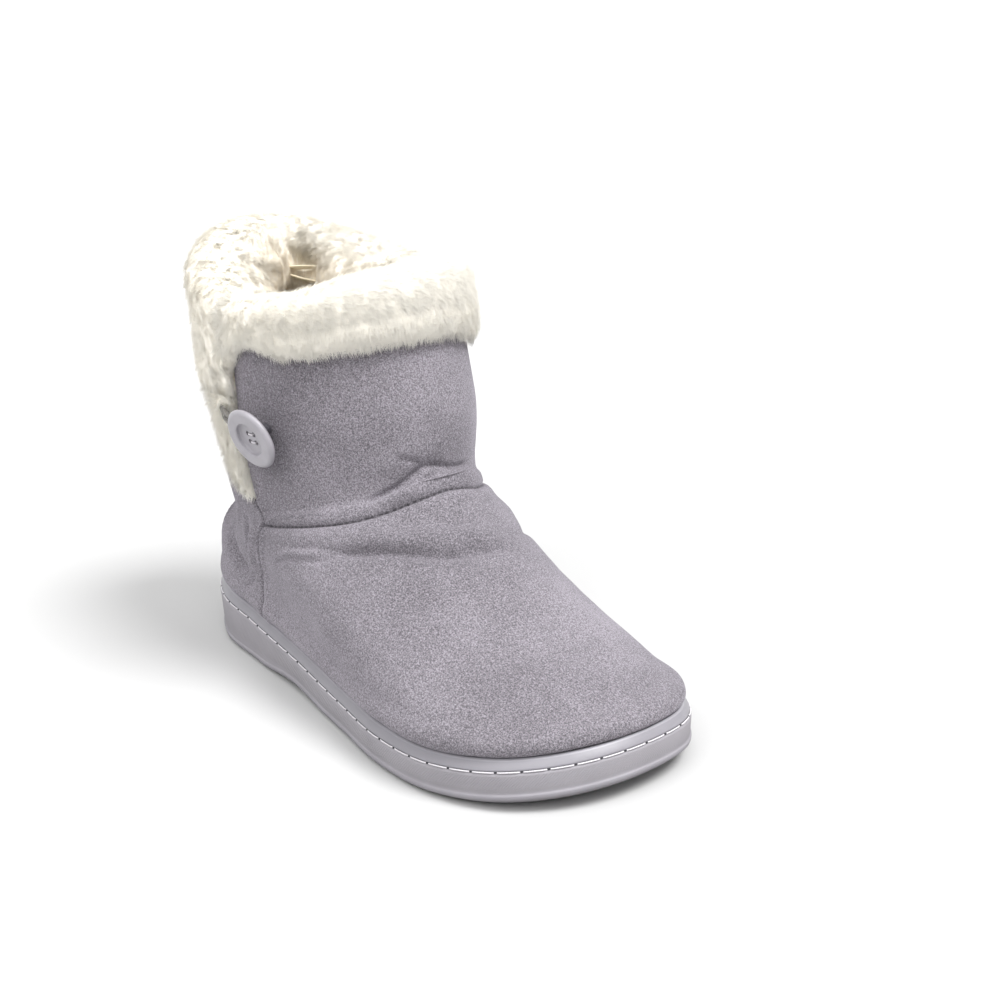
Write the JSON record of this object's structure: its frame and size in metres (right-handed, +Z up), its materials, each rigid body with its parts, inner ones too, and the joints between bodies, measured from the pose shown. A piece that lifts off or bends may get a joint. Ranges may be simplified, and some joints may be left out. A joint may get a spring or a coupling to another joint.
{
  "type": "bootie slipper",
  "caption": "Ankle-high suede bootie slipper for the right foot, with turned-down fur cuffs, open side vents, a button closure and a moulded cup sole",
  "frame": {"origin": "On the floor, in the middle of the flat spot under the heel, 40 mm ahead of the sole's back edge.", "axes": "+X towards the toe, +Y towards the other foot (the inner side of this right shoe), +Z up."},
  "size_m": [0.262, 0.1122, 0.18],
  "materials": {
    "sole_rubber": "grey moulded rubber, satin rand, ribbed side wall",
    "insole_fleece": "short cream fleece",
    "suede": "violet-grey suede with a mottled nap",
    "cream_fur": "deep cream fur in soft locks",
    "button_plastic": "satin grey plastic",
    "elastic_cord": "dark round elastic",
    "satin_ribbon": "cream satin ribbon"
  },
  "bodies": {
    "root": {"outsole": "sole_rubber", "insole": "insole_fleece", "upper": "suede", "fur_cuff_front": "cream_fur", "fur_cuff_rear": "cream_fur", "fur_edging_lateral": "cream_fur", "fur_edging_medial": "cream_fur", "button": "button_plastic", "button_loop": "elastic_cord", "hang_loop": "satin_ribbon"}
  },
  "joints": []
}
